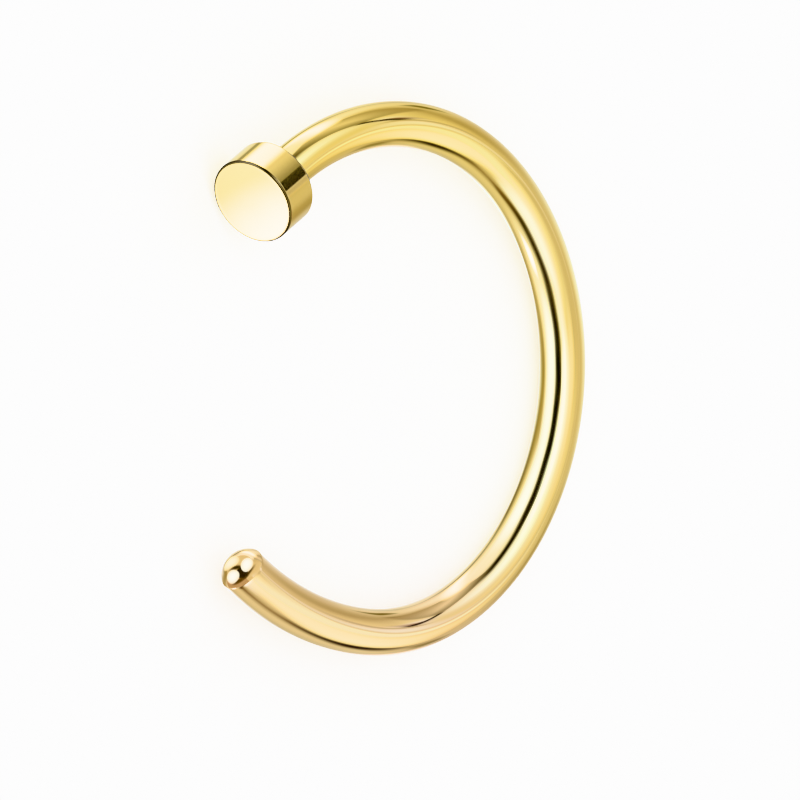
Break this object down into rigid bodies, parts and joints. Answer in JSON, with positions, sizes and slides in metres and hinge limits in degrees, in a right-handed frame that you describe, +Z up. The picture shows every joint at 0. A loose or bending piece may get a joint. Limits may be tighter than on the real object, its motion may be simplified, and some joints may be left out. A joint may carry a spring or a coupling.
{
  "type": "clip-on lip ring",
  "caption": "Open hoop of round wire with a flat disc on one end and a low domed tip on the other, worn over the lip with no piercing.",
  "frame": {"origin": "on the table, under the middle of the ring's box as it lies on its side", "axes": "+Z up out of the table, +Y from the mouth to the back of the hoop, +X from the disc's side to the tip's side"},
  "size_m": [0.0096, 0.009, 0.0017],
  "materials": {
    "polished_gold": "polished gold-coloured plating, with fine polishing lines along the wire"
  },
  "bodies": {
    "root": {"lip_ring": "polished_gold"}
  },
  "joints": []
}
